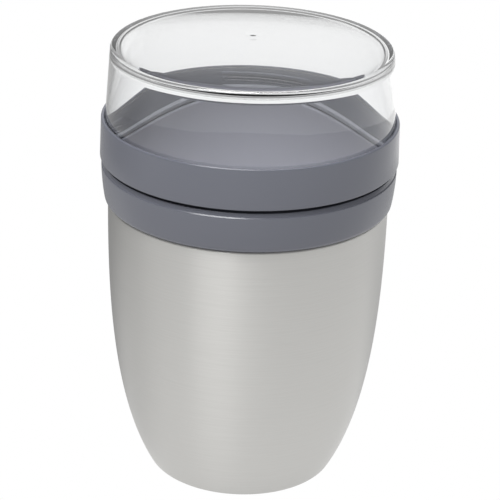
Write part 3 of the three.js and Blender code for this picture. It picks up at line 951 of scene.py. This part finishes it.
# %% Lid
LID_SHOULDER = 54.05
LID_DRAFT = 0.066
LID_EDGE = 169.3
LID_WALL = 2.4
LID_INSIDE_DRAFT = 0.05
LID_TOP = 2.8
LID_CROWN = 4.1
LID_ROUND = 1.8
LID_INSIDE_ROUND = 3.2
LID_STEP = 141.3
SKIRT_RADIUS = 53.15
SKIRT_BOTTOM = 134.0
SKIRT_ROUND = 0.4
STEP_ROUND = 0.3
LID_LUG_HEIGHT = 135.9
CROWN_STEPS = 24
GATE_RADIUS = 2.0
GATE_STAND = 0.12
GATE_STEPS = 8


def lid_outside(height):
    return LID_SHOULDER - LID_DRAFT * (height - RING_TOP)


LID_EDGE_RADIUS = lid_outside(LID_EDGE)


def lid_inside(height):
    return LID_EDGE_RADIUS - LID_WALL + LID_INSIDE_DRAFT * (LID_EDGE - height)


def crown(share, edge_radius, edge_height):
    radius = edge_radius * share
    return (radius, edge_height + LID_CROWN * (1 - (radius / edge_radius) ** 2))


def gate_dot(share):
    return (GATE_RADIUS * share, LID_EDGE + LID_CROWN + GATE_STAND * (0.5 + 0.5 * math.cos(math.pi * share)))


inside_edge = LID_EDGE - LID_TOP
inside_corner = (lid_inside(inside_edge), inside_edge)
lid_corner = (LID_EDGE_RADIUS, LID_EDGE)
crown_shares = [step / CROWN_STEPS for step in range(CROWN_STEPS - 1)]
crown_under = [crown(share, *inside_corner) for share in crown_shares]
crown_over = [crown(share, *lid_corner) for share in crown_shares[1:]]
gate = [gate_dot(step / GATE_STEPS) for step in range(GATE_STEPS, -1, -1)]
skirt = [(lid_inside(SKIRT_BOTTOM), SKIRT_BOTTOM), (SKIRT_RADIUS, SKIRT_BOTTOM), (SKIRT_RADIUS, LID_STEP)]
step_edge = (lid_outside(LID_STEP), LID_STEP)
lid_section = [
    *crown_under,
    *rounded(crown_under[-1], inside_corner, skirt[0], LID_INSIDE_ROUND, steps=8),
    *rounded(inside_corner, skirt[0], skirt[1], SKIRT_ROUND, steps=4),
    *rounded(skirt[0], skirt[1], skirt[2], SKIRT_ROUND, steps=4),
    *lug_rows(SKIRT_RADIUS, LID_LUG_HEIGHT, 1),
    *rounded(skirt[1], skirt[2], step_edge, STEP_ROUND, steps=3),
    *rounded(skirt[2], step_edge, lid_corner, STEP_ROUND, steps=3),
    *rounded(step_edge, lid_corner, crown_over[-1], LID_ROUND, steps=12),
    *crown_over[::-1],
    *gate,
]
lid = turn("clear_lid", lid_section, clear_plastic, sides=FINE_SIDES, **LUGS)
fit(lid, "lid", "clear_plastic", "lid")

# %% [markdown]
# ## Seals
#
# Two soft rings keep the pot tight. One lies on the tray's ledge under the lid's skirt, with two
# fine beads that the skirt presses flat. The other is a wedge in the groove under the tray, and
# presses on the steel rim. A torus would show the wrong section where they come into view, so each
# is turned from its true outline, corner by corner.

# %% Seals
LID_SEAL_OUTLINE = [
    (51.23, 132.5),
    (53.53, 132.5),
    (53.53, 133.4),
    (53.15, 133.7),
    (52.75, 133.4),
    (52.0, 133.4),
    (51.6, 133.7),
    (51.23, 133.4),
]
LID_SEAL_ROUND = 0.12
TRAY_SEAL_OUTLINE = [
    (48.02, 116.6),
    (50.7, 116.6),
    (50.7, 117.7),
    (50.45, 118.0),
    (50.45, 118.5),
    (50.7, 118.8),
    (50.7, 120.0),
    (50.0, 120.0),
    (49.1, 118.3),
]
TRAY_SEAL_ROUND = 0.14

lid_seal = turn("lid_ring_seal", edged(LID_SEAL_OUTLINE, LID_SEAL_ROUND), grey_silicone)
fit(lid_seal, "lid_seal", "silicone", "lid_seal")
tray_seal = turn("tray_ring_seal", edged(TRAY_SEAL_OUTLINE, TRAY_SEAL_ROUND), grey_silicone)
fit(tray_seal, "tray_seal", "silicone", "tray_seal")

# %% [markdown]
# ## What is sealed inside
#
# The foil, the getter, the base plate, its bead and the collar's gasket are closed in. They could
# be turned as well, but nobody sees them, so they keep their CAD shapes. They still get real
# finishes, so that the pot is right when it is cut open.

# %% Finishes for the inner pieces
INNER_FINISHES = {
    "reflector_foil": foil,
    "getter": getter_alloy,
    "weld_plate": polished_steel,
    "vacuum_seal": braze,
    "collar_gasket": grey_silicone,
}
for node, finish in INNER_FINISHES.items():
    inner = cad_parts[node]
    if not inner.material_slots:
        inner.data.materials.append(finish)
    inner.material_slots[0].material = finish
print("inner pieces:", ", ".join(INNER_FINISHES))

# %% [markdown]
# ## Floor
#
# In a catalogue picture the ground is pure white and shadowless, yet the steel shows that the table
# round it was a soft grey, in shade behind and to the left. Both are true at once if the floor is a
# matt, glowing sheet for light that bounces about, and plain white for what the lens sees, also
# through the clear lid. A Light Path node makes that switch, here and again in the tent below. The
# glow is dimmer behind the foot, a painted shadow of the pot, and behind to the left, near and far,
# painted shade. The sheet is see-through from below, so that the foot can be looked at.

# %% Floor glow
GLOW_NEAR = 1.0
GLOW_FAR = 0.97
NEAR = 0.08
FAR = 0.3
# Painted shadow of the pot and painted shade: near the foot the glow is dimmer behind it and behind to the
# left.
PAINTED_SHADOW_NEAR_FOOT = [  # where the floor is darker, how wide that spreads (as a cosine), and how much it takes away
    ((0.0, 1.0, 0.0), 0.2, 0.56),
    ((-0.8, 0.6, 0.0), 0.3, 0.2),
]
# Painted shade: far off the glow is dimmer behind to the left.
PAINTED_SHADE_FAR_OFF = [((-0.75, 0.66, 0.0), 0.5, 0.66)]  # the same far off, where the lid's side looks
FAR_START = 0.3
FAR_FULL = 0.4
FLOOR_ROUGHNESS = 0.9


def add_lobes(tree, vector, lobes, start):
    total = start
    for towards, spread, amount in lobes:
        facing = add_node(tree, "ShaderNodeVectorMath", operation="DOT_PRODUCT")
        feed(tree, facing.inputs[0], vector)
        facing.inputs[1].default_value = Vector(towards).normalized()
        lobe = remap(tree, facing.outputs["Value"], spread, 1.0, 0.0, amount, "SMOOTHSTEP")
        total = calculate(tree, "ADD", lobe, total)
    return total


floor_finish, floor_tree, floor_shader = begin_finish(
    "pale_floor", Roughness=FLOOR_ROUGHNESS, Emission_Color=(1, 1, 1, 1)
)
far_off = add_node(floor_tree, "ShaderNodeVectorMath", operation="LENGTH")
feed(floor_tree, far_off.inputs[0], object_place(floor_tree))
outward = add_node(floor_tree, "ShaderNodeVectorMath", operation="NORMALIZE")
feed(floor_tree, outward.inputs[0], object_place(floor_tree))
glow = remap(floor_tree, far_off.outputs["Value"], NEAR, FAR, GLOW_NEAR, GLOW_FAR, "SMOOTHSTEP")
near_share = remap(floor_tree, far_off.outputs["Value"], FAR_START, FAR_FULL, 1.0, 0.0, "SMOOTHSTEP")
far_share = calculate(floor_tree, "SUBTRACT", 1.0, near_share)
# Painted shadow and shade: the glow is taken down behind the foot and to the left.
near_dimming = add_lobes(floor_tree, outward.outputs["Vector"], PAINTED_SHADOW_NEAR_FOOT, 0.0)
far_dimming = add_lobes(floor_tree, outward.outputs["Vector"], PAINTED_SHADE_FAR_OFF, 0.0)
dimming = calculate(floor_tree, "MULTIPLY", near_dimming, near_share)
dimming = calculate(floor_tree, "MULTIPLY_ADD", far_dimming, far_share, dimming)
feed(floor_tree, floor_shader["Emission Strength"], calculate(floor_tree, "SUBTRACT", glow, dimming))
print("floor glow:", GLOW_NEAR, "near the foot,", GLOW_FAR, "far off")

# %% Floor as the lens sees it
FLOOR_DARK = (0.09, 0.09, 0.09)
FLOOR_LIGHT = (0.11, 0.11, 0.11)
FLOOR_PATCH = 0.4


def seen_by_lens(tree):
    path = add_node(tree, "ShaderNodeLightPath").outputs
    bounces = calculate(tree, "ADD", path["Diffuse Depth"], path["Glossy Depth"])
    return calculate(tree, "LESS_THAN", bounces, 0.5)


floor_patch = use_group(floor_tree, moulded_grain, Patch_size=FLOOR_PATCH)["Patch"]
feed(floor_tree, floor_shader["Base Color"], tint(floor_tree, floor_patch, FLOOR_DARK, FLOOR_LIGHT))
matt = floor_tree.nodes["Principled BSDF"].outputs["BSDF"]
white = add_node(floor_tree, "ShaderNodeEmission").outputs["Emission"]
see_through = add_node(floor_tree, "ShaderNodeBsdfTransparent").outputs["BSDF"]
from_below = add_node(floor_tree, "ShaderNodeNewGeometry").outputs["Backfacing"]
from_above = switch(floor_tree, seen_by_lens(floor_tree), matt, white)
one_sided = switch(floor_tree, from_below, from_above, see_through)
feed(floor_tree, floor_tree.nodes["Material Output"].inputs["Surface"], one_sided)
print("floor finish:", floor_finish.name, "with", len(floor_tree.nodes), "nodes")

# %% Floor sheet
FLOOR_HALF = 6.0

floor_mesh = bpy.data.meshes.new("floor")
corners = [(x * FLOOR_HALF, y * FLOOR_HALF, 0) for x, y in ((-1, -1), (1, -1), (1, 1), (-1, 1))]
floor_mesh.from_pydata(corners, [], [(0, 1, 2, 3)])
floor_mesh.materials.append(floor_finish)
floor = bpy.data.objects.new("floor", floor_mesh)
bpy.context.scene.collection.objects.link(floor)
print("floor", 2 * FLOOR_HALF, "m wide")

# %% [markdown]
# ## Light
#
# A softbox in front, to the left and high up, is the key light. The grooves of the steel draw its
# reflection out into one upright band, and the rims of the grey rings catch it as a thin line. A
# narrow strip overhead carries that line on to the right. A dim tent all round and a white wall
# behind are for the clear lid: lamps alone would leave it nothing to mirror, and its top would look
# black.

# %% Softboxes
AIM = Vector((0, 0, 0.12))
KEY_LAMP = {"place": (-0.2, -0.34, 0.9), "width": 0.42, "depth": 0.6, "power": 8.6}
FILL_LAMP = {"place": (0.15, -0.15, 0.95), "width": 0.6, "depth": 0.15, "power": 2.4}


def softbox(name, place, width, depth, power):
    data = bpy.data.lights.new(name, "AREA")
    data.shape = "RECTANGLE"
    data.size = width
    data.size_y = depth
    data.energy = power
    lamp = bpy.data.objects.new(name, data)
    facing = (Vector(place) - AIM).to_track_quat("Z", "Y")
    lamp.matrix_world = Matrix.Translation(place) @ facing.to_matrix().to_4x4()
    lamp.visible_camera = False
    lamp.visible_transmission = False
    bpy.context.scene.collection.objects.link(lamp)
    print(name, round(power / (math.pi * width * depth), 2), "W per square metre and steradian")


softbox("key_softbox", **KEY_LAMP)
softbox("fill_softbox", **FILL_LAMP)

# %% Tent
TENT = 0.3
WHITE_WALL = [((0.05, 1.0, 0.2), 0.86, 0.57)]

world = bpy.data.worlds.new("tent")
world.use_nodes = True
sky = world.node_tree
direction = add_node(sky, "ShaderNodeTexCoord").outputs["Generated"]
tent_light = add_lobes(sky, direction, WHITE_WALL, TENT)
tent_light = calculate(sky, "MAXIMUM", tent_light, seen_by_lens(sky))
feed(sky, sky.nodes["Background"].inputs["Color"], (1, 1, 1, 1))
feed(sky, sky.nodes["Background"].inputs["Strength"], tent_light)
bpy.context.scene.world = world
bpy.context.scene.view_settings.view_transform = "Standard"
print("tent:", TENT, "all round, up to", round(TENT + WHITE_WALL[0][2], 2), "behind")
